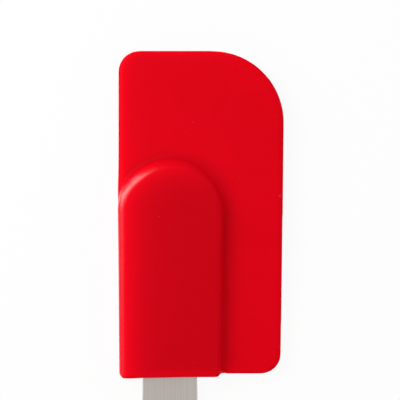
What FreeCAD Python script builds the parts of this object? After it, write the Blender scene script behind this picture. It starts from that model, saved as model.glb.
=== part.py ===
"""Silicone spatula with an offset lobe: a soft one-piece head pushed onto a stiff core.

The tool lies on its back. X runs across the blade, Y along the handle towards the blade's tip,
and Z up. The origin is on the flat back of the lobe, on the handle's centre line, half way along
the lobe. Sizes are in millimetres and angles in degrees. The tool's two faces are alike.

The handle is one flat steel strip. Its inner end, the tang, sits in a slot in a moulded core and
is held by two pins. The head's lobe has a blind pocket that is pushed over the core and keeps the
pins in, so the head pulls off along Y to be washed.
"""
import FreeCAD
import Part
import math
import os

# Handle: a flat strip that widens evenly from the core to its round end.
strip_thickness = 2.0
strip_width = 18.1
strip_end_width = 24.4
strip_length = 200.0
strip_edge_chamfer = 0.35
tang_length = 50.0
tang_corner = 4.0
hanging_hole_radius = 4.0

# Core: the stiff paddle inside the head.
core_side_wall = 5.4
core_skin = 1.25
core_recess = 1.0
core_tip_wall = 18.5
core_draft = 0.2
core_edge_chamfer = 0.5
slot_fit = 0.05
slot_end_gap = 0.3

# Grip grooves across both faces of the core, from its round tip towards the mouth.
groove_count = 4
groove_width = 1.6
groove_depth = 0.35
groove_pitch = 3.6
groove_setback = 8.0

# Pins through the core and the tang.
pin_radius = 2.5
pin_fit = 0.03
pin_setback = 13.0
pin_pitch = 24.0
pin_count = 2

# Lobe of the head and the pocket in it. The pocket grips the core's flat faces.
pocket_fit = 0.15
pocket_lead_in = 0.4
lobe_face_wall = 2.45
lobe_right_wall = 3.1
lobe_left_wall = 2.5
lobe_right_lean = 0.9
lobe_left_lean = 0.4
lobe_shoulder_round = 2.2
lobe_toe_round = 0.6
lobe_mouth_round = 0.85

# Blade of the head.
blade_length = 107.3
blade_heel_setback = 1.5
blade_reach = 37.8
blade_right_lean = 0.6
blade_left_inset = 0.15
blade_root_thickness = 3.4
blade_far_thinning = 0.8
blade_tip_thinning = 0.4
blade_edge_round = 0.95
blade_near_corner = 7.0
blade_far_corner = 24.0
blade_heel_corner = 6.6
blade_root_corner = 1.0

# Widths and heights that the pieces share.
core_half_width = strip_width / 2 + slot_fit + core_side_wall
core_thickness = strip_thickness + 2 * core_skin
lobe_thickness = core_thickness + 2 * lobe_face_wall
mid_z = lobe_thickness / 2

# The core's round tip, the pocket's and the lobe's share one centre.
pocket_tip_radius = core_half_width + pocket_fit
lobe_tip_radius = pocket_tip_radius + lobe_right_wall

# Places along Y. The lobe is as long as the tang, the core's solid tip and the walls need.
lobe_length = core_recess + tang_length + core_tip_wall + pocket_fit + lobe_right_wall
mouth_y = -lobe_length / 2
lobe_tip_y = mouth_y + lobe_length
tip_centre_y = lobe_tip_y - lobe_tip_radius
core_end_y = mouth_y + core_recess
core_tip_y = tip_centre_y + core_half_width
tang_tip_y = core_end_y + tang_length
strip_end_y = mouth_y - strip_length
hanging_hole_y = strip_end_y + strip_end_width / 2
heel_y = mouth_y + blade_heel_setback
blade_tip_y = heel_y + blade_length

# Roundings give way where a wall is too thin for them.
most_of_wall = 0.45
most_of_step = 0.75
step_height = (lobe_thickness - blade_root_thickness) / 2
shoulder_round = min(lobe_shoulder_round, most_of_step * step_height)
toe_round = min(lobe_toe_round, most_of_step * (step_height - shoulder_round))

over = 5.0  # how far a cutting solid runs past what it cuts
touching = 1e-4  # two places this near are the same

up = FreeCAD.Vector(0, 0, 1)
towards_mouth = FreeCAD.Vector(0, -1, 0)


def vector(x, y, z=0.0):
    """A point or direction."""
    return FreeCAD.Vector(x, y, z)


def rounded_outline(corners):
    """A closed wire in the XY plane through corners, each given as (x, y, radius)."""
    points = [vector(x, y) for x, y, _ in corners]
    stretches = []
    for i, (_, _, radius) in enumerate(corners):
        back = (points[i - 1] - points[i]).normalize()
        ahead = (points[(i + 1) % len(points)] - points[i]).normalize()
        half_angle = back.getAngle(ahead) / 2
        inward = (back + ahead).normalize()
        start = points[i] + back * (radius / math.tan(half_angle))
        middle = points[i] + inward * (radius / math.sin(half_angle) - radius)
        end = points[i] + ahead * (radius / math.tan(half_angle))
        stretches.append((start, middle, end))
    edges = []
    for i, (start, middle, end) in enumerate(stretches):
        if corners[i][2] > 0:
            edges.append(Part.Arc(start, middle, end).toShape())
        next_start = stretches[(i + 1) % len(stretches)][0]
        if end.distanceToPoint(next_start) > touching:
            edges.append(Part.LineSegment(end, next_start).toShape())
    return Part.Wire(edges)


def plate(outline, thickness):
    """A flat plate of a closed outline, as thick above the tool's middle plane as below it."""
    face = Part.Face(outline)
    face.translate(vector(0, 0, mid_z - thickness / 2))
    return face.extrude(vector(0, 0, thickness))


def flat_face(solid, direction):
    """The largest flat face of a solid that looks along direction."""
    flats = [face for face in solid.Faces
             if isinstance(face.Surface, Part.Plane) and face.normalAt(0, 0).dot(direction) > 0.99]
    return max(flats, key=lambda face: face.Area)


def rim_edges(solid):
    """The outer edges of a solid's top and bottom faces."""
    return flat_face(solid, up).OuterWire.Edges + flat_face(solid, -up).OuterWire.Edges


def lies_at_y(edge, y):
    """True where both ends of an edge have this Y."""
    return all(abs(vertex.Y - y) < touching for vertex in edge.Vertexes)


def middle_lies_on(edge, shape):
    """True where the middle of an edge touches a shape."""
    middle = edge.valueAt((edge.FirstParameter + edge.LastParameter) / 2)
    return shape.distToShape(Part.Vertex(middle))[0] < touching


def lean_x(half_width, lean, from_y, to_y):
    """Where a side is at to_y if it is at half_width at from_y and leans inwards towards the mouth."""
    return half_width - (from_y - to_y) * math.tan(math.radians(lean))


def tongue_outline(radius, right_lean, left_lean, start_y):
    """A tongue round the shared tip centre, whose sides touch its arc and lean inwards to start_y."""
    corners = []
    for side, lean in ((1, right_lean), (-1, left_lean)):
        # At the height of the centre, a side that touches the arc is this far out.
        half_width = radius / math.cos(math.radians(lean))
        mouth = (side * lean_x(half_width, lean, tip_centre_y, start_y), start_y, 0.0)
        tip_y = tip_centre_y + radius
        tip = (side * lean_x(half_width, lean, tip_centre_y, tip_y), tip_y, radius)
        corners += [mouth, tip] if side > 0 else [tip, mouth]
    return rounded_outline(corners)


# --- Head -------------------------------------------------------------------------------------

def left_side_x(y):
    """Where the head's left side is at this Y."""
    return -lean_x(pocket_tip_radius + lobe_left_wall, lobe_left_lean, tip_centre_y, y)


def mouth_wall():
    """How thick the lobe's thinner side wall is at the mouth, where the pocket is widest."""
    pocket_half = lean_x(pocket_tip_radius, -core_draft, tip_centre_y, mouth_y)
    right_half = lean_x(lobe_tip_radius, lobe_right_lean, tip_centre_y, mouth_y)
    return min(right_half, -left_side_x(mouth_y)) - pocket_half


def lobe():
    """The thick tongue that holds the pocket, cut straight along the head's left side."""
    tongue = plate(tongue_outline(lobe_tip_radius, lobe_right_lean, 0.0, mouth_y), lobe_thickness)
    beyond = lobe_tip_radius + over
    kept_side = rounded_outline([
        (left_side_x(mouth_y - over), mouth_y - over, 0.0),
        (beyond, mouth_y - over, 0.0),
        (beyond, lobe_tip_y + over, 0.0),
        (left_side_x(lobe_tip_y + over), lobe_tip_y + over, 0.0),
    ])
    body = tongue.common(plate(kept_side, lobe_thickness + over))
    shoulders = [edge for edge in rim_edges(body) if not lies_at_y(edge, mouth_y)]
    body = body.makeFillet(shoulder_round, shoulders)
    mouth_round = min(lobe_mouth_round, most_of_wall * mouth_wall())
    return body.makeFillet(mouth_round, flat_face(body, towards_mouth).OuterWire.Edges)


def blade():
    """The scraping blade: two halves that meet at the middle plane, each with one sloping face."""
    left = left_side_x(tip_centre_y) + blade_left_inset
    outline = rounded_outline([
        (left_side_x(heel_y) + blade_left_inset, heel_y, blade_root_corner),
        (lean_x(blade_reach, blade_right_lean, blade_tip_y, heel_y), heel_y, blade_heel_corner),
        (blade_reach, blade_tip_y, blade_far_corner),
        (left, blade_tip_y, blade_near_corner),
        (left, tip_centre_y, 0.0),
    ])
    half = plate(outline, blade_root_thickness)
    thinnest = blade_root_thickness - blade_far_thinning - blade_tip_thinning
    edge_round = min(blade_edge_round, most_of_wall * thinnest)
    half = half.makeFillet(edge_round, flat_face(half, up).OuterWire.Edges)
    fall_x = blade_far_thinning / 2 / (blade_reach - left)
    fall_y = blade_tip_thinning / 2 / blade_length
    tilt = FreeCAD.Rotation(up, vector(fall_x, fall_y, 1))
    thickest = vector(left, heel_y, mid_z + blade_root_thickness / 2)
    half.rotate(thickest, tilt.Axis, math.degrees(tilt.Angle))
    middle = vector(0, 0, mid_z)
    span = 2 * (blade_reach + blade_length)
    half = half.common(Part.makeBox(span, span, span, middle - vector(span / 2, span / 2)))
    return half.fuse(half.mirror(middle, up)).removeSplitter()


def paddle(fit, start_y):
    """The core's solid with its edges broken, or with a fit round its sides the pocket's."""
    outline = tongue_outline(core_half_width + fit, -core_draft, -core_draft, start_y)
    solid = plate(outline, core_thickness)
    broken = [edge for edge in rim_edges(solid) if not lies_at_y(edge, start_y)]
    return solid.makeChamfer(min(core_edge_chamfer, most_of_wall * core_skin), broken)


def silicone_head():
    """Lobe and blade in one moulding, with the blind pocket for the core."""
    thick, thin = lobe(), blade()
    body = thin.fuse(thick).removeSplitter().Solids[0]
    blade_faces = Part.Compound([flat_face(thin, up), flat_face(thin, -up)])
    toes = [edge for edge in body.Edges
            if middle_lies_on(edge, thick) and middle_lies_on(edge, blade_faces)]
    body = body.makeFillet(toe_round, toes)
    body = body.cut(paddle(pocket_fit, mouth_y - over))
    mouth = flat_face(body, towards_mouth)
    inner_edges = [edge for wire in mouth.Wires if not wire.isSame(mouth.OuterWire)
                   for edge in wire.Edges]
    return body.makeChamfer(min(pocket_lead_in, most_of_wall * mouth_wall()), inner_edges)


# --- Handle, core and pins --------------------------------------------------------------------

def round_bar(radius, y, length):
    """A cylinder along Z on the handle's centre line, as long above the middle plane as below it."""
    return Part.makeCylinder(radius, length, vector(0, y, mid_z - length / 2))


def pin_places():
    """Where the pins are along Y."""
    return [core_end_y + pin_setback + i * pin_pitch for i in range(pin_count)]


def core_pins():
    """The pins that hold the core on the tang, flush with the core's faces."""
    return Part.Compound([round_bar(pin_radius, y, core_thickness) for y in pin_places()])


def pin_holes():
    """The cutting solids of the holes that the pins pass through."""
    return [round_bar(pin_radius + pin_fit, y, core_thickness + over) for y in pin_places()]


def grooves(y):
    """The cutting solids of one groove across each face of the core."""
    length = 2 * (core_half_width + over)
    return [Part.makeBox(length, groove_width, groove_depth + over,
                         vector(-length / 2, y - groove_width / 2, bottom))
            for bottom in (mid_z + core_thickness / 2 - groove_depth,
                           mid_z - core_thickness / 2 - over)]


def core_paddle():
    """The stiff core: a slot for the tang, pin holes and grip grooves."""
    half_slot = strip_width / 2 + slot_fit
    slot_tip_y = tang_tip_y + slot_end_gap
    slot = plate(rounded_outline([
        (-half_slot, core_end_y - over, 0.0),
        (half_slot, core_end_y - over, 0.0),
        (half_slot, slot_tip_y, tang_corner),
        (-half_slot, slot_tip_y, tang_corner),
    ]), strip_thickness)
    cutters = [slot] + pin_holes()
    for i in range(groove_count):
        cutters += grooves(core_tip_y - groove_setback - i * groove_pitch)
    return paddle(0.0, core_end_y).cut(cutters)


def handle_outline():
    """The strip in plan: the tang, then sides that widen until they touch the round end."""
    half = strip_width / 2
    end_radius = strip_end_width / 2
    run = core_end_y - hanging_hole_y
    lean = math.atan2(run, half) - math.acos(end_radius / math.hypot(run, half))
    end_half = end_radius * (1 + math.sin(lean)) / math.cos(lean)
    return rounded_outline([
        (-half, core_end_y, 0.0),
        (-end_half, strip_end_y, end_radius),
        (end_half, strip_end_y, end_radius),
        (half, core_end_y, 0.0),
        (half, tang_tip_y, tang_corner),
        (-half, tang_tip_y, tang_corner),
    ])


def steel_handle():
    """The strip with broken edges, its hanging hole and the tang's pin holes."""
    strip = plate(handle_outline(), strip_thickness)
    strip = strip.cut(round_bar(hanging_hole_radius, hanging_hole_y, strip_thickness + over))
    edges = flat_face(strip, up).Edges + flat_face(strip, -up).Edges
    strip = strip.makeChamfer(min(strip_edge_chamfer, most_of_wall * strip_thickness), edges)
    return strip.cut(pin_holes())


def main():
    """Write one file for each piece."""
    pieces = {
        "silicone_head": silicone_head(),
        "core_paddle": core_paddle(),
        "steel_handle": steel_handle(),
        "core_pins": core_pins(),
    }
    os.makedirs("parts", exist_ok=True)
    for name, shape in pieces.items():
        solids = shape.Solids
        piece = solids[0] if len(solids) == 1 else Part.Compound(solids)
        state = "valid" if piece.isValid() else "NOT VALID"
        print(name, state, "solids:", len(solids), "mm3:", round(piece.Volume, 1))
        piece.exportStep("parts/" + name + ".step")


main()
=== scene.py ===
"""Looks of a silicone spatula: the soft red head, the core and pins in it, the steel strip and a studio.

X runs across the blade, Y along the handle towards the blade's tip, and Z up from the back to the face, as
in the frame. Pieces are modelled in millimetres and become metres when they are finished.
"""

import logging
import math
from collections.abc import Callable
from dataclasses import dataclass, field
from enum import Enum

import bmesh
import bpy
from mathutils import Matrix, Vector, noise


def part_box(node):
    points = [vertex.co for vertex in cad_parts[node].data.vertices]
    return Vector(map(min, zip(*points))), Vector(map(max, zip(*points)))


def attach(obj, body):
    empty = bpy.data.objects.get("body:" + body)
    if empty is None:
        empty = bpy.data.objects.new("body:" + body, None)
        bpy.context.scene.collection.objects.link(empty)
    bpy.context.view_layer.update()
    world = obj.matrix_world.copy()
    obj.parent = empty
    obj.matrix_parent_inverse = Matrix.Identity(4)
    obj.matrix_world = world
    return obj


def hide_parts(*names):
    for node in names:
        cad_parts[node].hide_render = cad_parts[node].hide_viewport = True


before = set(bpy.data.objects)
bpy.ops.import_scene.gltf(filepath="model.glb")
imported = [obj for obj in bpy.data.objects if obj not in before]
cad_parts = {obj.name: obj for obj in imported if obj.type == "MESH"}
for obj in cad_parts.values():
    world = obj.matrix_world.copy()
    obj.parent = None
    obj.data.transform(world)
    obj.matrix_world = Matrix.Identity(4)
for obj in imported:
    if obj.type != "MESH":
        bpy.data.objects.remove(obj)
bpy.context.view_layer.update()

log = logging.getLogger("spatula")

MM = 0.001
PHOTO_SIDE_PX = 400
Colour = tuple[float, float, float, float]
Triple = tuple[float, float, float]
Span = tuple[float, float]
Setting = dict[str, object]

# Bearings of the lobe's straight sides, in degrees.
LOOKS_RIGHT = 0.0
LOOKS_LEFT = 180.0


def box_mm(node: str) -> tuple[Vector, Vector]:
    """Give the corners of a node of the frame in millimetres.

    Args:
        node: the node's name.

    Returns:
        Its lowest and its highest corner.
    """
    low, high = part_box(node)
    return low / MM, high / MM


def smoothstep(low: float, high: float, value: float) -> float:
    """Rise smoothly from 0 to 1.

    Args:
        low: where the rise starts.
        high: where the rise ends.
        value: where to read it.

    Returns:
        The height of the rise at value.
    """
    share = min(1.0, max(0.0, (value - low) / (high - low)))
    return share * share * (3.0 - 2.0 * share)


def add_object(name: str, content: bpy.types.ID | None) -> bpy.types.Object:
    """Put a new object into the scene.

    Args:
        name: the object's name.
        content: the mesh, light or camera that it shows.

    Returns:
        The object.
    """
    made = bpy.data.objects.new(name, content)
    bpy.context.scene.collection.objects.link(made)
    return made


# --- Shader nodes ------------------------------------------------------------------------------


class Socket:
    """An output of a shader node. Arithmetic on sockets adds the Math nodes that work it out."""

    def __init__(self, tree: "ShaderTree", outlet: bpy.types.NodeSocket) -> None:
        """Wrap an output.

        Args:
            tree: the tree that the output's node is in.
            outlet: the output itself.
        """
        self.tree = tree
        self.outlet = outlet

    def _math(self, operation: str, *values: "Socket | float") -> "Socket":
        """Add a Math node.

        Args:
            operation: the node's operation.
            values: its inputs, in order.

        Returns:
            The node's output.
        """
        return self.tree.node("ShaderNodeMath", {"operation": operation}, dict(enumerate(values)))

    def __add__(self, other: "Socket | float") -> "Socket":
        """Add another value to this one."""
        return self._math("ADD", self, other)

    def __radd__(self, other: float) -> "Socket":
        """Add this value to a number."""
        return self._math("ADD", other, self)

    def __sub__(self, other: "Socket | float") -> "Socket":
        """Take another value from this one."""
        return self._math("SUBTRACT", self, other)

    def __rsub__(self, other: float) -> "Socket":
        """Take this value from a number."""
        return self._math("SUBTRACT", other, self)

    def __mul__(self, other: "Socket | float") -> "Socket":
        """Multiply this value by another."""
        return self._math("MULTIPLY", self, other)

    def __rmul__(self, other: float) -> "Socket":
        """Multiply a number by this value."""
        return self._math("MULTIPLY", other, self)

    def __abs__(self) -> "Socket":
        """Give this value without its sign."""
        return self._math("ABSOLUTE", self)

    def larger(self, other: "Socket | float") -> "Socket":
        """Give the larger of this value and another."""
        return self._math("MAXIMUM", self, other)

    def rise(self, low: float, high: float) -> "Socket":
        """Rise smoothly from 0 to 1 as this value goes from low to high.

        Args:
            low: where the rise starts.
            high: where the rise ends. If it is below low, the result falls instead.

        Returns:
            The height of the rise.
        """
        flipped = high < low
        settings = {"interpolation_type": "SMOOTHSTEP"}
        risen = self.tree.node("ShaderNodeMapRange", settings, {
            "Value": self,
            "From Min": min(low, high),
            "From Max": max(low, high),
        })
        return 1.0 - risen if flipped else risen


class ShaderTree:
    """The node tree of a material or a world, with the few ways in which the finishes add to it."""

    EDGE_SAMPLES = 4

    def __init__(self, owner: bpy.types.Material | bpy.types.World) -> None:
        """Empty the owner's tree.

        Args:
            owner: the material or world that the tree belongs to.
        """
        owner.use_nodes = True
        self.owner = owner
        self.nodes = owner.node_tree.nodes
        self.links = owner.node_tree.links
        self.nodes.clear()

    def node(self, kind: str, settings: Setting, sockets: dict, outlet: str | int = 0) -> Socket:
        """Add any node.

        Args:
            kind: the node's type.
            settings: its properties, which are set first.
            sockets: values or links of its inputs, by name or place.
            outlet: the output that is wanted.

        Returns:
            That output.
        """
        made = self.nodes.new(kind)
        for name, value in settings.items():
            setattr(made, name, value)
        for name, value in sockets.items():
            if isinstance(value, Socket):
                self.links.new(value.outlet, made.inputs[name])
            else:
                made.inputs[name].default_value = value
        return Socket(self, made.outputs[outlet])

    def place(self) -> Socket:
        """Give the point on the surface in millimetres of the frame."""
        metres = self.node("ShaderNodeTexCoord", {}, {}, "Object")
        return self.node("ShaderNodeVectorMath", {"operation": "SCALE"}, {0: metres, "Scale": 1.0 / MM})

    def axes(self, vector: Socket) -> list[Socket]:
        """Split a vector into its X, Y and Z."""
        return [self.node("ShaderNodeSeparateXYZ", {}, {0: vector}, axis) for axis in "XYZ"]

    def distance(self, place: Socket, spot: Triple) -> Socket:
        """Measure how far the point on the surface is from a spot."""
        sockets = {0: place, 1: spot}
        return self.node("ShaderNodeVectorMath", {"operation": "DISTANCE"}, sockets, "Value")

    def attribute(self, name: str) -> Socket:
        """Read a number that the mesh carries at its points."""
        return self.node("ShaderNodeAttribute", {"attribute_name": name}, {}, "Fac")

    def noise(self, place: Socket, size: float | Triple, detail: float = 2.0) -> Socket:
        """Add cloudy noise.

        Args:
            place: the point in millimetres.
            size: how large its patches are in millimetres, the same all ways or along each axis.
            detail: how many finer layers it has.

        Returns:
            The noise, about 0.5 on average.
        """
        along = size if isinstance(size, tuple) else (size, size, size)
        scaled = self.node("ShaderNodeMapping", {}, {
            "Vector": place,
            "Scale": [1.0 / length for length in along],
        })
        return self.node("ShaderNodeTexNoise", {}, {"Vector": scaled, "Scale": 1.0, "Detail": detail})

    def blend(self, share: Socket | float, first: Socket | Colour, second: Socket | Colour) -> Socket:
        """Mix two colours.

        Args:
            share: how much of the second there is.
            first: the colour at 0.
            second: the colour at 1.

        Returns:
            The mixed colour.
        """
        factor, colour_a, colour_b, mixed = 0, 6, 7, 2
        sockets = {factor: share, colour_a: first, colour_b: second}
        return self.node("ShaderNodeMix", {"data_type": "RGBA"}, sockets, mixed)

    def relief(self, height: Socket, depth: float, below: Socket | None = None) -> Socket:
        """Raise and sink the surface a little.

        Args:
            height: the relief, from 0 to 1.
            depth: how deep it is, in millimetres.
            below: a normal that it goes on top of.

        Returns:
            The normal.
        """
        sockets = {"Height": height, "Distance": depth * MM}
        if below:
            sockets["Normal"] = below
        return self.node("ShaderNodeBump", {}, sockets)

    def soft_edges(self, radius: float) -> Socket:
        """Give a normal that turns smoothly round the edges of a hard piece.

        Args:
            radius: how far from an edge the turn starts, in millimetres.

        Returns:
            The normal.
        """
        return self.node("ShaderNodeBevel", {"samples": self.EDGE_SAMPLES}, {"Radius": radius * MM})

    def surface(self, sockets: dict) -> bpy.types.Material:
        """Finish a material with one Principled shader.

        Args:
            sockets: values or links of the shader's inputs.

        Returns:
            The finished material.
        """
        shader = self.node("ShaderNodeBsdfPrincipled", {}, sockets)
        self.node_output("ShaderNodeOutputMaterial", shader)
        return self.owner

    def node_output(self, kind: str, shader: Socket) -> None:
        """Send a shader to the output node of this kind."""
        output = self.nodes.new(kind)
        self.links.new(shader.outlet, output.inputs["Surface"])


# --- Finishes ----------------------------------------------------------------------------------


class Finish:
    """A finish that a piece can wear."""

    def material(self) -> bpy.types.Material:
        """Make the finish's material."""
        raise NotImplementedError

    def new_tree(self, name: str) -> ShaderTree:
        """Start the finish's material with an empty node tree."""
        return ShaderTree(bpy.data.materials.new(name))


@dataclass(frozen=True)
class RedSilicone(Finish):
    """Satin red silicone: deeper over the dark core, with painted shade beside the lobe and painted light on
    the sides that look to the lamp.
    """

    parting_height: float

    tone: Colour = (0.760, 0.0, 0.009, 1.0)
    cloud_tone: Colour = (0.730, 0.0, 0.008, 1.0)
    # The deep tone is the red over the dark core, and also painted shade beside the lobe.
    cored_and_painted_shade_tone: Colour = (0.630, 0.0, 0.007, 1.0)
    # The lit tone is painted light, standing in for the lamp's light soaking in from the side.
    lit_tone: Colour = (0.970, 0.0, 0.013, 1.0)
    worn_tone: Colour = (0.850, 0.0, 0.014, 1.0)
    # A pale tone for dust, also used for one painted glint.
    dust_and_glint_tone: Colour = (0.88, 0.10, 0.10, 1.0)

    # Sizes are in millimetres. A span is where a pattern starts to show and where it is full.
    cloud_size: float = 30.0
    cloud_span: Span = (0.35, 0.65)
    peel_size: float = 3.2
    grain_size: float = 0.3
    dust_size: float = 0.8
    dust_span: Span = (0.74, 0.80)
    dust_patch_size: float = 9.0
    dust_patch_span: Span = (0.5, 0.6)
    dust_share: float = 0.4
    worn_span: Span = (0.25, 0.9)
    worn_share: float = 0.6
    parting_span: Span = (0.22, 0.05)
    parting_rim_span: Span = (0.6, 0.9)
    # Three small pale spots; the one at the lobe's lower right corner by the heel is a painted glint.
    pale_spot_size: float = 0.7
    pale_spot_share: float = 0.6
    pale_spots_and_glint: tuple[Triple, ...] = ((36.6, 24.2, 5.6), (-16.6, 4.8, 7.5), (17.2, -34.5, 6.0))

    relief_depth: float = 0.02
    grain_relief: float = 0.25
    peel_relief: float = 0.75
    parting_relief: float = 2.0
    roughness: float = 0.40
    grain_roughness: float = 0.08
    cloud_roughness: float = 0.06
    specular_level: float = 0.03
    coat_roughness: float = 0.26
    coat_ior: float = 1.6
    soak_depth: float = 3.0
    soak_by_colour: Triple = (1.0, 0.12, 0.12)

    def material(self) -> bpy.types.Material:
        """Make the finish's material.

        Returns:
            The material.
        """
        tree = self.new_tree("red_silicone")
        place = tree.place()
        height = tree.axes(place)[2]
        rim, cored, glow, gloss = (tree.attribute(mark.value) for mark in Mark)
        cloud = tree.noise(place, self.cloud_size)
        peel = tree.noise(place, self.peel_size, detail=1.0)
        grain = tree.noise(place, self.grain_size, detail=3.0)
        dust = tree.noise(place, self.dust_size, detail=1.0).rise(*self.dust_span)
        dust = dust * tree.noise(place, self.dust_patch_size).rise(*self.dust_patch_span)
        parting = abs(height - self.parting_height).rise(*self.parting_span)
        parting = parting * rim.rise(*self.parting_rim_span)
        tone = tree.blend(cloud.rise(*self.cloud_span), self.cloud_tone, self.tone)
        tone = tree.blend(rim.rise(*self.worn_span) * self.worn_share, tone, self.worn_tone)
        # The deeper red over the core, and painted shade beside the lobe on the side away from the lamp.
        tone = tree.blend(cored, tone, self.cored_and_painted_shade_tone)
        # Painted light where the lamp's light would soak in at the lobe's sides, and a little at the mouth
        # and the blade's left edge.
        tone = tree.blend(glow, tone, self.lit_tone)
        tone = tree.blend(dust * self.dust_share, tone, self.dust_and_glint_tone)
        # Pale spots, one of them a painted glint at the lobe's lower right corner by the heel.
        for pale_spot in self.pale_spots_and_glint:
            near = tree.distance(place, pale_spot).rise(self.pale_spot_size, 0.0)
            tone = tree.blend(near * self.pale_spot_share, tone, self.dust_and_glint_tone)
        relief = grain * self.grain_relief + peel * self.peel_relief + parting * self.parting_relief
        return tree.surface({
            "Base Color": tone,
            "Roughness": self.roughness + grain * self.grain_roughness + cloud * self.cloud_roughness,
            "Normal": tree.relief(relief, self.relief_depth),
            "Specular IOR Level": self.specular_level,
            "Coat Weight": gloss,
            "Coat Roughness": self.coat_roughness,
            "Coat IOR": self.coat_ior,
            "Subsurface Weight": 1.0,
            "Subsurface Radius": self.soak_by_colour,
            "Subsurface Scale": self.soak_depth * MM,
        })


@dataclass(frozen=True)
class BlackNylon(Finish):
    """Matt black glass-filled nylon with faint grey streaks where it flowed into its mould."""

    tone: Colour = (0.028, 0.028, 0.031, 1.0)
    streak_tone: Colour = (0.045, 0.045, 0.048, 1.0)
    streak_size: Triple = (4.0, 18.0, 4.0)
    streak_span: Span = (0.45, 0.7)
    grain_size: float = 0.22
    roughness: float = 0.48
    grain_roughness: float = 0.2
    relief_depth: float = 0.012
    edge_radius: float = 0.25

    def material(self) -> bpy.types.Material:
        """Make the finish's material.

        Returns:
            The material.
        """
        tree = self.new_tree("black_nylon")
        place = tree.place()
        flow = tree.noise(place, self.streak_size, detail=3.0)
        grain = tree.noise(place, self.grain_size, detail=3.0)
        return tree.surface({
            "Base Color": tree.blend(flow.rise(*self.streak_span), self.tone, self.streak_tone),
            "Roughness": self.roughness + grain * self.grain_roughness,
            "Normal": tree.relief(grain, self.relief_depth, tree.soft_edges(self.edge_radius)),
        })


class Grind(Enum):
    """Which way the lines of a steel finish run: how long they are along each axis, in millimetres."""

    ALONG_STRIP = (0.16, 70.0, 0.16)
    ACROSS_PIN = (18.0, 0.09, 0.09)


@dataclass(frozen=True)
class Steel(Finish):
    """Stainless steel with the fine lines of its last belt."""

    name: str
    grind: Grind
    tone: Colour = (0.755, 0.70, 0.65, 1.0)
    line_tone: Colour = (0.69, 0.64, 0.595, 1.0)
    line_span: Span = (0.35, 0.65)
    fine_share: float = 0.65
    coarse_growth: float = 4.0
    smear_size: float = 16.0
    roughness: float = 0.30
    line_roughness: float = 0.1
    smear_roughness: float = 0.06
    relief_depth: float = 0.006
    edge_radius: float = 0.2

    def material(self) -> bpy.types.Material:
        """Make the finish's material.

        Returns:
            The material.
        """
        tree = self.new_tree(self.name)
        place = tree.place()
        coarse_size = tuple(length * self.coarse_growth for length in self.grind.value)
        fine = tree.noise(place, self.grind.value, detail=3.0)
        coarse = tree.noise(place, coarse_size)
        smear = tree.noise(place, self.smear_size)
        lines = fine * self.fine_share + coarse * (1.0 - self.fine_share)
        return tree.surface({
            "Base Color": tree.blend(lines.rise(*self.line_span), self.tone, self.line_tone),
            "Metallic": 1.0,
            "Roughness": self.roughness + lines * self.line_roughness + smear * self.smear_roughness,
            "Normal": tree.relief(lines, self.relief_depth, tree.soft_edges(self.edge_radius)),
        })


# --- Shapes ------------------------------------------------------------------------------------


@dataclass(frozen=True)
class Corner:
    """One corner of an outline, in millimetres, with the radius that rounds it."""

    x: float
    y: float
    radius: float = 0.0


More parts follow.
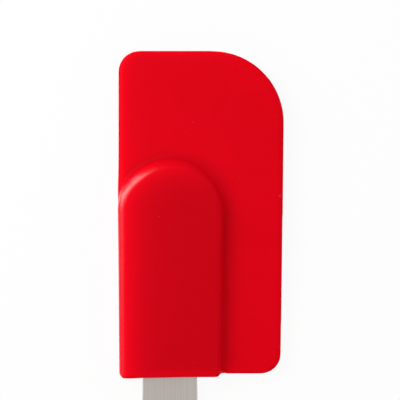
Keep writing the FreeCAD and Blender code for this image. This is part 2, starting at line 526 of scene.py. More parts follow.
class Slab:
    """A flat slab in millimetres that mesh operators grow from the corners of its outline."""

    ARC_STEP = math.radians(2.5)
    SAME_PLACE = 1e-3

    def __init__(self, corners: list[Corner], mid_z: float, thickness: float) -> None:
        """Lay out the outline.

        Args:
            corners: the outline's corners, in order.
            mid_z: the height of the slab's middle plane.
            thickness: how thick the slab will be.
        """
        self.mid_z = mid_z
        self.thickness = thickness
        self.bm = bmesh.new()
        floor_z = mid_z - thickness / 2
        points = [self.bm.verts.new((corner.x, corner.y, floor_z)) for corner in corners]
        self.bm.faces.new(points)
        for point, corner in zip(points, corners):
            if corner.radius:
                self._round_corner(point, corner.radius)
        bmesh.ops.remove_doubles(self.bm, verts=self.bm.verts[:], dist=self.SAME_PLACE)

    def _round_corner(self, point: bmesh.types.BMVert, radius: float) -> None:
        """Round one corner of the outline.

        Args:
            point: the corner.
            radius: the radius of its arc.
        """
        back, ahead = (edge.other_vert(point).co - point.co for edge in point.link_edges)
        opening = back.angle(ahead)
        bmesh.ops.bevel(self.bm, geom=[point], affect="VERTICES", offset_type="OFFSET",
                        offset=radius / math.tan(opening / 2), profile=0.5, material=-1,
                        segments=max(2, round((math.pi - opening) / self.ARC_STEP)))

    def thicken(self, rounding: float = 0.0, steps: int = 1) -> None:
        """Raise the outline to the slab's full thickness and round its top and bottom edges.

        Args:
            rounding: the radius of the rounding.
            steps: how many steps it has.
        """
        bottom = self.bm.faces[:]
        raised = bmesh.ops.extrude_face_region(self.bm, geom=bottom)["geom"]
        top = [item for item in raised if isinstance(item, bmesh.types.BMFace)]
        for faces, height in ((bottom, rounding), (top, self.thickness - rounding)):
            verts = {vert for face in faces for vert in face.verts}
            bmesh.ops.translate(self.bm, verts=list(verts), vec=(0.0, 0.0, height))
        bmesh.ops.recalc_face_normals(self.bm, faces=self.bm.faces[:])
        quarter = math.pi / 2
        for step in range(steps if rounding else 0):
            turned, turns_to = quarter * step / steps, quarter * (step + 1) / steps
            for faces in (bottom, top):
                bmesh.ops.inset_region(self.bm, faces=faces, use_boundary=True, use_even_offset=True,
                                       thickness=rounding * (math.cos(turned) - math.cos(turns_to)),
                                       depth=rounding * (math.sin(turns_to) - math.sin(turned)))

    def cut_off(self, point: Vector, outwards: Vector) -> None:
        """Cut the slab off square to a direction and close it there.

        Args:
            point: a point on the cut.
            outwards: the direction of what is cut away.
        """
        everything = self.bm.verts[:] + self.bm.edges[:] + self.bm.faces[:]
        cut = bmesh.ops.bisect_plane(self.bm, geom=everything, plane_co=point, plane_no=outwards,
                                     clear_outer=True)["geom_cut"]
        edges = [item for item in cut if isinstance(item, bmesh.types.BMEdge)]
        bmesh.ops.edgeloop_fill(self.bm, edges=edges)

    def taper(self, share_at: Callable[[float, float], float]) -> None:
        """Thin the slab about its middle plane.

        Args:
            share_at: gives the share of the thickness that is left at an X and Y.
        """
        for vert in self.bm.verts:
            vert.co.z = self.mid_z + (vert.co.z - self.mid_z) * share_at(vert.co.x, vert.co.y)

    def add(self, other: "Slab") -> None:
        """Take in another slab, which may run through this one.

        Args:
            other: the slab, which can't be used afterwards.
        """
        mesh = other.as_mesh("other")
        self.bm.from_mesh(mesh)
        bpy.data.meshes.remove(mesh)

    def as_mesh(self, name: str) -> bpy.types.Mesh:
        """Finish the slab.

        Args:
            name: the mesh's name.

        Returns:
            The mesh, still in millimetres.
        """
        mesh = bpy.data.meshes.new(name)
        bmesh.ops.recalc_face_normals(self.bm, faces=self.bm.faces[:])
        self.bm.to_mesh(mesh)
        self.bm.free()
        return mesh


# --- Sub-assemblies ----------------------------------------------------------------------------


class Mark(Enum):
    """What the head's mesh tells its material at each point, from 0 to 1."""

    RIM = "rim"
    # The deeper red over the core, and painted shade beside the lobe.
    CORED = "cored"
    # Painted light, standing in for light soaking in from the lamp's side.
    GLOW = "glow"
    # Coat weight, laid only where the lamp's highlight falls.
    GLOSS = "gloss"


@dataclass(frozen=True)
class Spot:
    """Where a point of the head lies, in millimetres and degrees.

    The depth is how far inside the lobe's outline it is, negative outside. The bearing is which way the
    outline looks there: 0 is right, 90 the tip and 180 left. The height is off the middle plane. The rest
    are how far it is from the left side, the mouth and the heel, and whether it lies by the round tip.
    """

    depth: float
    bearing: float
    height: float
    from_left: float
    from_mouth: float
    from_heel: float
    by_tip: bool


@dataclass
class HeadOutline:
    """The head seen from above, in millimetres and degrees: the lobe's sides and tip, the blade's heel."""

    lobe_left_wall: float = 17.3
    lobe_left_lean: float = 0.45
    lobe_right_wall: float = 17.75
    lobe_right_lean: float = 0.6
    heel_setback: float = 1.5
    far_corner: float = 23.9

    def __post_init__(self) -> None:
        """Take the head's own box from the frame and work out the places that its parts share."""
        self.low, self.high = box_mm("silicone_head")
        self.mid_z = (self.low.z + self.high.z) / 2
        self.mouth_y = self.low.y
        self.lobe_tip_y = -self.mouth_y
        self.lobe_radius = (self.lobe_left_wall + self.lobe_right_wall) / 2
        self.tip_centre_x = (self.lobe_right_wall - self.lobe_left_wall) / 2
        self.tip_centre_y = self.lobe_tip_y - self.lobe_radius
        self.heel_y = self.mouth_y + self.heel_setback
        self.far_middle_y = (self.high.y - self.far_corner + self.heel_y) / 2

    def left_x(self, y: float) -> float:
        """Give where the head's left side is at this Y, the lobe's tip left out."""
        return -(self.lobe_left_wall - (self.tip_centre_y - y) * math.tan(math.radians(self.lobe_left_lean)))

    def right_x(self, y: float) -> float:
        """Give where the lobe's right side is at this Y, its round tip left out."""
        return self.lobe_right_wall - (self.tip_centre_y - y) * math.tan(math.radians(self.lobe_right_lean))

    def depth_in_lobe(self, x: float, y: float) -> float:
        """Measure how far inside the lobe's outline a point is, its mouth left out.

        Args:
            x: the point's X.
            y: the point's Y.

        Returns:
            The distance to the outline, negative outside.
        """
        if y > self.tip_centre_y:
            from_arc = self.lobe_radius - math.hypot(x - self.tip_centre_x, y - self.tip_centre_y)
        else:
            from_arc = self.right_x(y) - x
        return min(from_arc, x - self.left_x(y))

    def bearing(self, x: float, y: float) -> float:
        """Tell which way the lobe's outline looks near a point.

        Args:
            x: the point's X.
            y: the point's Y.

        Returns:
            The bearing in degrees: 0 is right, 90 the tip and 180 left.
        """
        if y > self.tip_centre_y:
            return math.degrees(math.atan2(y - self.tip_centre_y, x - self.tip_centre_x))
        return LOOKS_RIGHT if x > self.tip_centre_x else LOOKS_LEFT

    def spot(self, place: Vector) -> Spot:
        """Tell where a point of the head lies.

        Args:
            place: the point.

        Returns:
            Its place as the rest of the head sees it.
        """
        return Spot(
            depth=self.depth_in_lobe(place.x, place.y),
            bearing=self.bearing(place.x, place.y),
            height=abs(place.z - self.mid_z),
            from_left=place.x - self.left_x(place.y),
            from_mouth=place.y - self.mouth_y,
            from_heel=place.y - self.heel_y,
            by_tip=place.y > self.tip_centre_y,
        )


@dataclass(frozen=True)
class SlowCurves:
    """The slow curves that the real moulding has and plain slabs lack, in millimetres and degrees.

    A span is where a curve starts and where it is full.
    """

    outline: HeadOutline

    # The lobe's shoulder is widest at the tip and tighter on both sides.
    shoulder_heights: Span = (1.4, 2.0)
    shoulder_depths: Span = (1.5, 5.0)
    tip_width: float = 1.1
    right_tightening: float = 0.75
    right_bearings: Span = (70.0, 0.0)
    left_tightening: float = 0.8
    left_bearings: Span = (135.0, 165.0)

    # The lobe's faces fall a little towards their edges, more so at the tip.
    face_heights: Span = (2.9, 3.9)
    edge_drop: float = 0.2
    tip_extra_drop: float = 0.2
    tip_run: float = 4.0
    drop_length: float = 4.0

    # The blade's far side bulges, and the head's left side is hollow beside the lobe's tip.
    far_bulge: float = 0.1
    far_bulge_x: Span = (20.0, 37.0)
    hollow_depth: float = 0.2
    hollow_y: float = 25.4
    hollow_length: float = 7.0
    hollow_x: Span = (-12.0, -16.0)

    # The mouth has round corners and runs a little askew, and the heel meets the lobe in a clean notch.
    mouth_corner: float = 2.0
    mouth_corner_margin: float = 0.5
    notch_lift: float = 0.42
    notch_start: Span = (-0.2, 0.3)
    notch_end: Span = (1.9, 0.3)
    notch_rows: Span = (1.2, 0.2)
    skew_length: float = 12.0
    skew_margin: Span = (-0.5, 0.3)
    right_lift: float = 0.35
    right_lift_x: Span = (-14.0, 8.0)
    left_drop: float = 0.12
    left_drop_x: Span = (-9.0, -13.0)

    # The thin blade isn't quite flat.
    ripple_height: float = 0.12
    ripple_length: float = 45.0
    ripple_span: Span = (18.0, 30.0)

    def bend(self, bm: bmesh.types.BMesh) -> None:
        """Bend the head's skin into all of its slow curves.

        Args:
            bm: the head's mesh.
        """
        for vert in bm.verts:
            start = vert.co.copy()
            self._tighten_shoulder(vert)
            self._lower_face_edge(vert, start)
            self._bend_sides(vert, start)
            self._round_mouth_corner(vert)
            self._clear_notch(vert, start)
            self._skew_mouth(vert, start)
            self._ripple_blade(vert, start)

    def _tighten_shoulder(self, vert: bmesh.types.BMVert) -> None:
        """Draw a point of the shoulder outwards where the shoulder is tighter than at the tip.

        Args:
            vert: the point, which is left alone anywhere else.
        """
        x, y = vert.co.x, vert.co.y
        depth = self.outline.depth_in_lobe(x, y)
        above = smoothstep(*self.shoulder_heights, abs(vert.co.z - self.outline.mid_z))
        if not 0.0 < depth < self.shoulder_depths[1] or above == 0.0:
            return
        bearing = self.outline.bearing(x, y)
        width = self.tip_width
        width -= self.right_tightening * smoothstep(*self.right_bearings, bearing)
        width -= self.left_tightening * smoothstep(*self.left_bearings, bearing)
        width += (1.0 - width) * smoothstep(*self.shoulder_depths, depth)
        turn = math.radians(bearing)
        outwards = depth * (1.0 - width) * above
        vert.co.x += outwards * math.cos(turn)
        vert.co.y += outwards * math.sin(turn)

    def _lower_face_edge(self, vert: bmesh.types.BMVert, start: Vector) -> None:
        """Bring a point of the lobe's faces nearer to the middle plane close to the outline.

        Args:
            vert: the point, which is left alone anywhere else.
            start: where it was before it was bent.
        """
        rise = start.z - self.outline.mid_z
        outer = smoothstep(*self.face_heights, abs(rise))
        if outer == 0.0:
            return
        depth = max(0.0, self.outline.depth_in_lobe(start.x, start.y))
        near_tip = smoothstep(self.outline.tip_centre_y - self.tip_run, self.outline.lobe_tip_y, start.y)
        drop = (self.edge_drop + self.tip_extra_drop * near_tip) * math.exp(-depth / self.drop_length)
        vert.co.z -= math.copysign(drop * outer, rise)

    def _bend_sides(self, vert: bmesh.types.BMVert, start: Vector) -> None:
        """Bulge the far side and hollow the left side beside the lobe's tip.

        Args:
            vert: the point.
            start: where it was before it was bent.
        """
        middle_y = self.outline.far_middle_y
        along_side = (start.y - middle_y) / (self.outline.high.y - middle_y)
        bulge = self.far_bulge * (1.0 - along_side ** 2)
        vert.co.x += bulge * smoothstep(*self.far_bulge_x, start.x)
        along_hollow = (start.y - self.hollow_y) / self.hollow_length
        hollow = self.hollow_depth * math.exp(-along_hollow ** 2)
        vert.co.x -= hollow * smoothstep(*self.hollow_x, start.x)

    def _round_mouth_corner(self, vert: bmesh.types.BMVert) -> None:
        """Draw a point near a corner of the mouth into a quarter of a disc.

        Args:
            vert: the point, which is left alone anywhere else.
        """
        x, y = vert.co.x, vert.co.y
        from_side = min(x - self.outline.left_x(y), self.outline.right_x(y) - x)
        across = self.mouth_corner - max(0.0, from_side)
        down = self.mouth_corner - (y - self.outline.mouth_y)
        if from_side < -self.mouth_corner_margin or across <= 0.0 or down <= 0.0:
            return
        pulled = 1.0 - max(across, down) / math.hypot(across, down)
        vert.co.x += math.copysign(across * pulled, -x)
        vert.co.y += down * pulled

    def _clear_notch(self, vert: bmesh.types.BMVert, start: Vector) -> None:
        """Lift a point of the heel right beside the lobe, where remaking the skin filled the notch.

        Args:
            vert: the point, which is left alone anywhere else.
            start: where it was before it was bent.
        """
        beside = start.x - self.outline.right_x(start.y)
        filled = smoothstep(*self.notch_start, beside) * smoothstep(*self.notch_end, beside)
        vert.co.y += self.notch_lift * filled * smoothstep(*self.notch_rows, start.y - self.outline.heel_y)

    def _skew_mouth(self, vert: bmesh.types.BMVert, start: Vector) -> None:
        """Set the lobe's end a little askew.

        Args:
            vert: the point, which is left alone far from the mouth.
            start: where it was before it was bent.
        """
        skew = smoothstep(self.outline.mouth_y + self.skew_length, self.outline.mouth_y, start.y)
        skew *= smoothstep(*self.skew_margin, self.outline.depth_in_lobe(start.x, start.y))
        lift = self.right_lift * smoothstep(*self.right_lift_x, start.x)
        drop = self.left_drop * smoothstep(*self.left_drop_x, start.x)
        vert.co.y += (lift - drop) * skew

    def _ripple_blade(self, vert: bmesh.types.BMVert, start: Vector) -> None:
        """Raise or sink a point of the blade with a slow wave.

        Args:
            vert: the point, which is left alone near the lobe.
            start: where it was before it was bent.
        """
        wave = noise.noise(Vector((start.x, start.y, 0.0)) / self.ripple_length)
        past_lobe = max(start.x, start.y - self.outline.lobe_tip_y + self.ripple_span[0])
        vert.co.z += self.ripple_height * wave * smoothstep(*self.ripple_span, past_lobe)


@dataclass(frozen=True)
class LightOnHead:
    """Marks for the silicone's material, stored at the head's points: worn rims, the deeper red over the
    core, painted shade, painted light and the coat's highlight band.

    Sizes are in millimetres and bearings in degrees. A span is where something starts and where it is full.
    """

    outline: HeadOutline

    # Points this far inside are on the pocket's wall, where nothing is worn.
    pocket_depth: float = 1.4
    pocket_height: float = 3.0
    pocket_from_mouth: float = 1.0

    # The red is deeper over the core, and painted shade darkens the blade beside the lobe on the side away
    # from the lamp.
    shade_reach: float = 3.5
    shade_growth: float = 3.5
    shade_depth: float = 0.6
    away_bearings: Span = (90.0, 20.0)
    toe_lightening: float = 0.9
    toe_distance: float = 0.3
    toe_width: float = 0.9
    heel_start: float = -1.5
    heel_fade: float = 3.0
    heel_fade_outside: float = 3.5
    lobe_side: Span = (0.5, -0.5)

    # Painted light stands in for light soaking into the sides that look to the lamp, less so right at the
    # wall beside the tip. A little
    # # is painted at the mouth and at the blade's left edge.
    soak_bearings: Span = (0.0, 140.0)
    soak_level: float = 1.73
    soak_length: float = 4.1
    wall_loss: float = 0.85
    wall_depths: Span = (5.0, 0.0)
    wall_bearings: Span = (170.0, 100.0)
    mouth_level: float = 0.35
    mouth_length: float = 1.8
    blade_level: float = 0.8
    blade_length: float = 2.5

    # The coat lies only in a band on the shoulder and the flank outside it, where the lamp's highlight
    # falls.
    band_start: float = 2.4
    band_start_bearings: Span = (165.0, 115.0)
    band_start_edge: Span = (-1.4, 0.6)
    band_end: float = 3.3
    band_end_loss: float = 1.2
    band_end_bearings: Span = (120.0, 180.0)
    band_end_edge: Span = (0.3, -0.9)
    lamp_bearings: Span = (98.0, 138.0)
    side_loss: float = 0.76
    side_bearings: Span = (160.0, 185.0)
    least_gloss: float = 0.05
    gloss_heights: Span = (1.8, 2.4)
    flank_start: Span = (148.0, 158.0)
    flank_end: Span = (176.0, 166.0)
    flank_inside: Span = (0.6, 0.1)
    flank_outside: Span = (-1.0, -0.2)

    def store(self, bm: bmesh.types.BMesh) -> None:
        """Store every mark at every point.

        Args:
            bm: the head's mesh.
        """
        bm.normal_update()
        rim, cored, glow, gloss = (bm.verts.layers.float.new(mark.value) for mark in Mark)
        for vert in bm.verts:
            spot = self.outline.spot(vert.co)
            vert[rim] = 0.0 if self._in_pocket(spot) else 1.0 - abs(vert.normal.z)
            vert[cored] = self._cored(spot)
            vert[glow] = self._glow(spot)
            vert[gloss] = self._gloss(spot)

    def _in_pocket(self, spot: Spot) -> bool:
        """Tell whether a point is on the pocket's wall."""
        deep = spot.depth > self.pocket_depth and spot.from_mouth > self.pocket_from_mouth
        return deep and spot.height < self.pocket_height

    def _cored(self, spot: Spot) -> float:
        """Tell how much the core deepens the red, and how much painted shade darkens it beside the lobe.

        Args:
            spot: the point.

        Returns:
            The share of the deep tone there.
        """
        away = smoothstep(*self.away_bearings, spot.bearing)
        reach = self.shade_reach + self.shade_growth * away
        toe = math.exp(-((spot.depth + self.toe_distance) / self.toe_width) ** 2) * away
        shade = smoothstep(-reach, self.shade_depth, spot.depth) * (1.0 - self.toe_lightening * toe)
        full_from = self.heel_fade + self.heel_fade_outside * smoothstep(*self.lobe_side, spot.depth)
        return shade * smoothstep(self.heel_start, full_from, spot.from_heel)

    def _glow(self, spot: Spot) -> float:
        """Tell how much painted light stands in for light soaking in from the sides that look to the lamp.

        Args:
            spot: the point.

        Returns:
            The share of the lit tone there.
        """
        if spot.depth <= 0.0:
            return self.blade_level * math.exp(-max(0.0, spot.from_left) / self.blade_length)
        depth, bearing = (spot.depth, spot.bearing) if spot.by_tip else (spot.from_left, LOOKS_LEFT)
        wall = self.wall_loss * smoothstep(*self.wall_depths, depth)
        wall *= smoothstep(*self.wall_bearings, bearing)
        side = smoothstep(*self.soak_bearings, bearing) * (1.0 - wall)
        side *= min(1.0, self.soak_level * math.exp(-depth / self.soak_length))
        return max(side, self.mouth_level * math.exp(-spot.from_mouth / self.mouth_length))

    def _gloss(self, spot: Spot) -> float:
        """Tell how much of the lamp's glance a point shows.

        Args:
            spot: the point.

        Returns:
            The weight of the coat there.
        """
        start = self.band_start * smoothstep(*self.band_start_bearings, spot.bearing)
        end = self.band_end - self.band_end_loss * smoothstep(*self.band_end_bearings, spot.bearing)
        band = smoothstep(*self.band_start_edge, spot.depth - start)
        band *= smoothstep(*self.band_end_edge, spot.depth - end)
        lamp_side = smoothstep(*self.lamp_bearings, spot.bearing)
        lamp_side -= self.side_loss * smoothstep(*self.side_bearings, spot.bearing)
        level = self.least_gloss + (1.0 - self.least_gloss) * lamp_side
        shoulder = band * level * smoothstep(*self.gloss_heights, spot.height)
        flank = smoothstep(*self.flank_start, spot.bearing) * smoothstep(*self.flank_end, spot.bearing)
        flank *= smoothstep(*self.flank_inside, spot.depth) * smoothstep(*self.flank_outside, spot.depth)
        return max(shoulder, flank)


@dataclass
class SiliconeHead:
    """The head: a thin blade and, beside its left edge, the thick lobe with the pocket for the core."""

    outline: HeadOutline = field(default_factory=HeadOutline)

    # Lobe.
    tip_flat: float = 0.2
    shoulder_radius: float = 3.3
    shoulder_steps: int = 8

    # Blade. The growths make up for what remaking and easing the skin takes away.
    right_lean: float = 0.8
    right_growth: float = 0.40
    heel_growth: float = 0.2
    tip_growth: float = 0.08
    left_inset: float = 0.1
    blade_thickness: float = 3.4
    far_thinning: float = 0.8
    tip_thinning: float = 0.4
    rim_radius: float = 1.0
    rim_steps: int = 6
    near_corner: float = 7.0
    heel_corner: float = 6.6
    root_corner: float = 1.0

    # Pocket and skin.
    pocket_clearance: float = 0.15
    pocket_overrun: float = 5.0
    voxel: float = 0.5

    # What is eased: the toe round the lobe, in a wide and a narrow band, and the edges of the mouth.
    easing: float = 0.5
    toe_heights: Span = (1.2, 3.3)
    toe_depth: float = 0.6
    wide_toe_reach: float = 1.6
    narrow_toe_reach: float = 0.9
    toe_from_left: float = 0.8
    toe_from_heel: float = 1.0
    mouth_rim: float = 1.2

    def _lobe(self) -> Slab:
        """Make the lobe with its round shoulders.

        Returns:
            The lobe, cut off flat at the mouth.
        """
        out = self.outline
        tip_radius = out.lobe_radius - self.tip_flat / 2
        foot_y = out.mouth_y - 2 * self.shoulder_radius
        lobe = Slab([
            Corner(out.left_x(foot_y), foot_y),
            Corner(out.right_x(foot_y), foot_y),
            Corner(out.right_x(out.lobe_tip_y), out.lobe_tip_y, tip_radius),
            Corner(out.left_x(out.lobe_tip_y), out.lobe_tip_y, tip_radius),
        ], out.mid_z, out.high.z - out.low.z)
        lobe.thicken(self.shoulder_radius, self.shoulder_steps)
        lobe.cut_off(Vector((0.0, out.mouth_y, out.mid_z)), Vector((0.0, -1.0, 0.0)))
        return lobe

    def _blade(self) -> Slab:
        """Make the blade, which thins towards its far side and its tip.

        Returns:
            The blade.
        """
        out = self.outline
        left = out.left_x(out.tip_centre_y) + self.left_inset
        lean = math.tan(math.radians(self.right_lean))
        length = out.high.y - out.heel_y
        heel_y = out.heel_y - self.heel_growth
        tip_y = out.high.y + self.tip_growth
        right = out.high.x + out.far_corner * lean + self.right_growth
        blade = Slab([
            Corner(out.left_x(heel_y) + self.left_inset, heel_y, self.root_corner),
            Corner(right - length * lean, heel_y, self.heel_corner),
            Corner(right, tip_y, out.far_corner),
            Corner(left, tip_y, self.near_corner),
            Corner(left, out.tip_centre_y),
        ], out.mid_z, self.blade_thickness)
        blade.thicken(self.rim_radius, self.rim_steps)

        def share_at(x: float, y: float) -> float:
            """Tell how much of the blade's thickness is left at a point.

            Args:
                x: the point's X.
                y: the point's Y.

            Returns:
                The share that is left.
            """
            across = self.far_thinning * (x - left) / (out.high.x - left)
            along = self.tip_thinning * (y - out.heel_y) / length
            return 1.0 - (across + along) / self.blade_thickness

        blade.taper(share_at)
        return blade

    def _pocket(self) -> Slab:
        """Make the cutting solid of the blind pocket, a little larger than the core.

        Returns:
            The solid, which starts outside the mouth.
        """
        low, high = box_mm("core_paddle")
        half = high.x + self.pocket_clearance
        tip_y = high.y + self.pocket_clearance
        start_y = self.outline.mouth_y - self.pocket_overrun
        pocket = Slab([
            Corner(-half, start_y),
            Corner(half, start_y),
            Corner(half, tip_y, half),
            Corner(-half, tip_y, half),
        ], self.outline.mid_z, high.z - low.z + 2 * self.pocket_clearance)
        pocket.thicken()
        return pocket

    def _moulded(self) -> bmesh.types.BMesh:
        """Join blade and lobe, cut the pocket and remake the whole skin in even steps.

        Returns:
            The head's mesh.
        """
        both = self._blade()
        both.add(self._lobe())
        body = add_object("body", both.as_mesh("body"))
        tool = add_object("pocket", self._pocket().as_mesh("pocket"))
        self._remake_skin(body)
        cut = body.modifiers.new("cut", "BOOLEAN")
        cut.object = tool
        cut.operation = "DIFFERENCE"
        cut.solver = "EXACT"
        self._remake_skin(body)
        graph = bpy.context.evaluated_depsgraph_get()
        mesh = bpy.data.meshes.new_from_object(body.evaluated_get(graph))
        for spare in (body, tool):
            bpy.data.objects.remove(spare)
        if not mesh.vertices:
            raise RuntimeError("The head has no skin: a solid that it is made of isn't closed.")
        moulded = bmesh.new()
        moulded.from_mesh(mesh)
        bpy.data.meshes.remove(mesh)
        return moulded

    def _remake_skin(self, body: bpy.types.Object) -> None:
        """Give a body a modifier that remakes its outer skin in even steps.

        Args:
            body: the body.
        """
        skin = body.modifiers.new("skin", "REMESH")
        skin.mode = "VOXEL"
        skin.voxel_size = self.voxel

    def _toe(self, bm: bmesh.types.BMesh, reach: float) -> list[bmesh.types.BMVert]:
        """Find the points of the toe, where the lobe rises from the blade.

        Args:
            bm: the head's mesh.
            reach: how far outside the lobe's outline the points may be.

        Returns:
            The points.
        """
        lowest, highest = self.toe_heights
        found = []
        for vert in bm.verts:
            spot = self.outline.spot(vert.co)
            on_blade = spot.from_left > self.toe_from_left and spot.from_heel > self.toe_from_heel
            if on_blade and lowest < spot.height < highest and -reach < spot.depth < self.toe_depth:
                found.append(vert)
        return found

    def _soften(self, bm: bmesh.types.BMesh) -> None:
        """Ease the skin's steps, the toe round the lobe and the edges of the mouth.

        Args:
            bm: the head's mesh.
        """
        everywhere = bm.verts[:]
        wide_toe = self._toe(bm, self.wide_toe_reach)
        narrow_toe = self._toe(bm, self.narrow_toe_reach)
        mouth = [vert for vert in everywhere if vert.co.y < self.outline.mouth_y + self.mouth_rim]
        for verts, rounds in ((everywhere, 2), (wide_toe, 1), (narrow_toe, 2), (mouth, 1), (everywhere, 1)):
            for _ in range(rounds):
                bmesh.ops.smooth_vert(bm, verts=verts, factor=self.easing, use_axis_x=True,
                                      use_axis_y=True, use_axis_z=True)

    def build(self) -> bpy.types.Object:
        """Model the head.

        Returns:
            The finished object, in metres.
        """
        bm = self._moulded()
        self._soften(bm)
        SlowCurves(self.outline).bend(bm)
        LightOnHead(self.outline).store(bm)
        bmesh.ops.scale(bm, vec=(MM, MM, MM), verts=bm.verts[:])
        bmesh.ops.recalc_face_normals(bm, faces=bm.faces[:])
        for face in bm.faces:
            face.smooth = True
        mesh = bpy.data.meshes.new("moulded_head")
        bm.to_mesh(mesh)
        bm.free()
        return add_object("moulded_head", mesh)

    def dress(self, head: bpy.types.Object) -> None:
        """Give the head its finish and its place in the frame.

        Args:
            head: the object that build made.
        """
        head.data.materials.append(RedSilicone(self.outline.mid_z).material())
        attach(head, "head")
        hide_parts("silicone_head")


@dataclass
class HandleAssembly:
    """The steel strip, the core on its tang and the pins through both, as the frame has them."""

    finishes: dict[str, Finish] = field(default_factory=lambda: {
        "steel_handle": Steel("brushed_strip", Grind.ALONG_STRIP),
        "core_paddle": BlackNylon(),
        "core_pins": Steel("ground_pins", Grind.ACROSS_PIN, roughness=0.36),
    })

    def dress(self) -> list[bpy.types.Object]:
        """Give each piece its finish.

        Returns:
            The pieces.
        """
        pieces = []
        for name, finish in self.finishes.items():
            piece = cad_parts[name]
            for slot in piece.material_slots:
                slot.material = finish.material()
            pieces.append(piece)
        return pieces

    def metal_pieces(self) -> list[bpy.types.Object]:
        """Give the pieces that wear a steel finish."""
        steel = [name for name, finish in self.finishes.items() if isinstance(finish, Steel)]
        return [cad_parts[name] for name in steel]


# --- Studio ------------------------------------------------------------------------------------


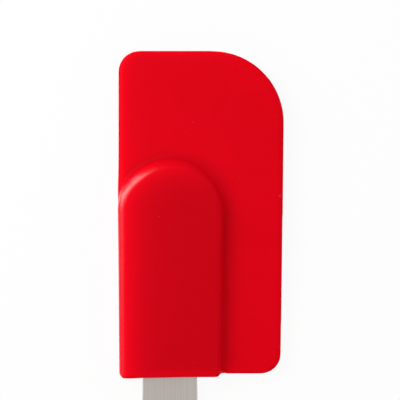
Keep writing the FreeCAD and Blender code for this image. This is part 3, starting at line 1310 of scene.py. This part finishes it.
@dataclass
class Studio:
    """A pale floor that the tool lies on, one soft lamp from the upper left and a white room.

    The floor's radius and the lamp's sizes are in metres, the floor's grain is in millimetres.
    """

    floor_radius: float = 8.0
    floor_sides: int = 64
    floor_tone: Colour = (0.86, 0.86, 0.86, 1.0)
    floor_roughness: float = 0.75
    floor_specular: float = 0.1
    grain_size: float = 4.0
    grain_roughness: float = 0.1
    white_share: float = 0.93
    lamp_towards: Vector = field(default_factory=lambda: Vector((-0.61, 0.385, 0.69)))
    lamp_distance: float = 0.6
    lamp_width: float = 0.36
    lamp_height: float = 0.66
    lamp_level: float = 0.6
    horizon_level: float = 1.0
    zenith_level: float = 0.55
    mirrored_zenith_level: float = 0.8
    overhead_span: Span = (0.05, 0.8)

    def floor(self) -> bpy.types.Object:
        """Lay the floor against the lobe's mouth and the end of the handle.

        Returns:
            The floor.
        """
        head_low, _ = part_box("silicone_head")
        strip_low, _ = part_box("steel_handle")
        run = head_low.y - strip_low.y
        rise = strip_low.z - head_low.z
        bm = bmesh.new()
        bmesh.ops.create_circle(bm, cap_ends=True, segments=self.floor_sides, radius=self.floor_radius)
        mouth = Vector((0.0, head_low.y, head_low.z))
        tilt = Matrix.Rotation(-math.atan2(rise, run), 3, "X")
        bmesh.ops.rotate(bm, verts=bm.verts[:], cent=(0.0, 0.0, 0.0), matrix=tilt)
        bmesh.ops.translate(bm, verts=bm.verts[:], vec=mouth)
        mesh = bpy.data.meshes.new("floor")
        bm.to_mesh(mesh)
        bm.free()
        floor = add_object("floor", mesh)
        floor.data.materials.append(self._floor_material())
        return floor

    def _floor_material(self) -> bpy.types.Material:
        """Make a pale floor that shows nearly white to the camera and keeps a soft shadow.

        Returns:
            The floor's material.
        """
        tree = ShaderTree(bpy.data.materials.new("pale_floor"))
        grain = tree.noise(tree.place(), self.grain_size, detail=3.0)
        paper = tree.node("ShaderNodeBsdfPrincipled", {}, {
            "Base Color": self.floor_tone,
            "Roughness": self.floor_roughness + grain * self.grain_roughness,
            "Specular IOR Level": self.floor_specular,
        })
        white = tree.node("ShaderNodeEmission", {}, {"Strength": 1.0})
        factor, first, second = 0, 1, 2
        mixed = tree.node("ShaderNodeMixShader", {}, {
            factor: self._seen_rays(tree) * self.white_share,
            first: paper,
            second: white,
        })
        tree.node_output("ShaderNodeOutputMaterial", mixed)
        return tree.owner

    @staticmethod
    def _seen_rays(tree: ShaderTree) -> Socket:
        """Tell the rays that show the background: the camera's, a reflection's or through glass.

        Args:
            tree: the tree that asks.

        Returns:
            1 for such rays and 0 for others.
        """
        camera, glossy, clear = (tree.node("ShaderNodeLightPath", {}, {}, ray) for ray in (
            "Is Camera Ray", "Is Glossy Ray", "Is Transmission Ray"))
        return camera.larger(glossy).larger(clear)

    def room(self) -> None:
        """Light the scene from all round, white at the horizon and dimmer overhead, less so for metal."""
        world = bpy.data.worlds.new("white_room")
        bpy.context.scene.world = world
        tree = ShaderTree(world)
        direction = tree.node("ShaderNodeTexCoord", {}, {}, "Generated")
        overhead = tree.axes(direction)[2].rise(*self.overhead_span)
        mirrored = tree.node("ShaderNodeLightPath", {}, {}, "Is Glossy Ray")
        zenith = self.zenith_level + mirrored * (self.mirrored_zenith_level - self.zenith_level)
        level = self.horizon_level + overhead * (zenith - self.horizon_level)
        tree.node_output("ShaderNodeOutputWorld", tree.node("ShaderNodeBackground", {}, {"Strength": level}))

    def lamp(self, bare_metal: list[bpy.types.Object]) -> bpy.types.Object:
        """Hang the soft lamp, at a level worked out from the light that it should give on the face.

        Args:
            bare_metal: pieces that mirror the room alone, so that the lamp doesn't bleach them.

        Returns:
            The lamp.
        """
        light = bpy.data.lights.new("soft_lamp", "AREA")
        light.shape = "RECTANGLE"
        light.size = self.lamp_width
        light.size_y = self.lamp_height
        towards = self.lamp_towards.normalized()
        light.energy = self.lamp_level * (math.pi * self.lamp_distance) ** 2 / towards.z
        lamp = add_object("soft_lamp", light)
        lamp.location = towards * self.lamp_distance
        lamp.rotation_euler = towards.to_track_quat("Z", "Y").to_euler()
        left_out = bpy.data.collections.new("lamp_leaves_out")
        lamp.light_linking.receiver_collection = left_out
        for piece in bare_metal:
            left_out.objects.link(piece)
        for member in left_out.collection_objects:
            member.light_linking.link_state = "EXCLUDE"
        return lamp


@dataclass
class PhotoCamera:
    """The photograph's view: straight down on the head, the handle leaving at the lower edge.

    Pixels are the photograph's, from its left and its top edge. Other sizes are in millimetres. The scale
    holds at the height of the lobe's face.
    """

    scale_mm_per_px: float = 1 / 3
    handle_axis_px: float = 170.0
    mouth_px: float = 377.5
    face_height: float = 5.0
    lens: float = 180.0

    def place(self) -> bpy.types.Object:
        """Make the camera.

        Returns:
            The camera, set as the scene's.
        """
        low, _ = box_mm("silicone_head")
        middle_px = PHOTO_SIDE_PX / 2
        centre_x = (middle_px - self.handle_axis_px) * self.scale_mm_per_px
        centre_y = low.y + (self.mouth_px - middle_px) * self.scale_mm_per_px
        data = bpy.data.cameras.new("photo_camera")
        data.lens = self.lens
        width = PHOTO_SIDE_PX * self.scale_mm_per_px
        distance = width * self.lens / data.sensor_width
        camera = add_object("photo_camera", data)
        camera.location = Vector((centre_x, centre_y, self.face_height + distance)) * MM
        bpy.context.scene.camera = camera
        return camera


def report(piece: bpy.types.Object) -> None:
    """Log a finished piece.

    Args:
        piece: the object to report.
    """
    triangles = sum(len(face.vertices) - 2 for face in piece.data.polygons)
    log.info("%s: %d triangles", piece.name, triangles)


def main() -> None:
    """Build every piece, dress it and set the studio round it."""
    logging.basicConfig(level=logging.INFO, format="%(message)s")
    bpy.context.scene.view_settings.view_transform = "Standard"
    PhotoCamera().place()
    head = SiliconeHead()
    moulding = head.build()
    head.dress(moulding)
    handle = HandleAssembly()
    for piece in [moulding, *handle.dress()]:
        report(piece)
    studio = Studio()
    studio.floor()
    studio.lamp(handle.metal_pieces())
    studio.room()


if __name__ == "__main__":
    main()
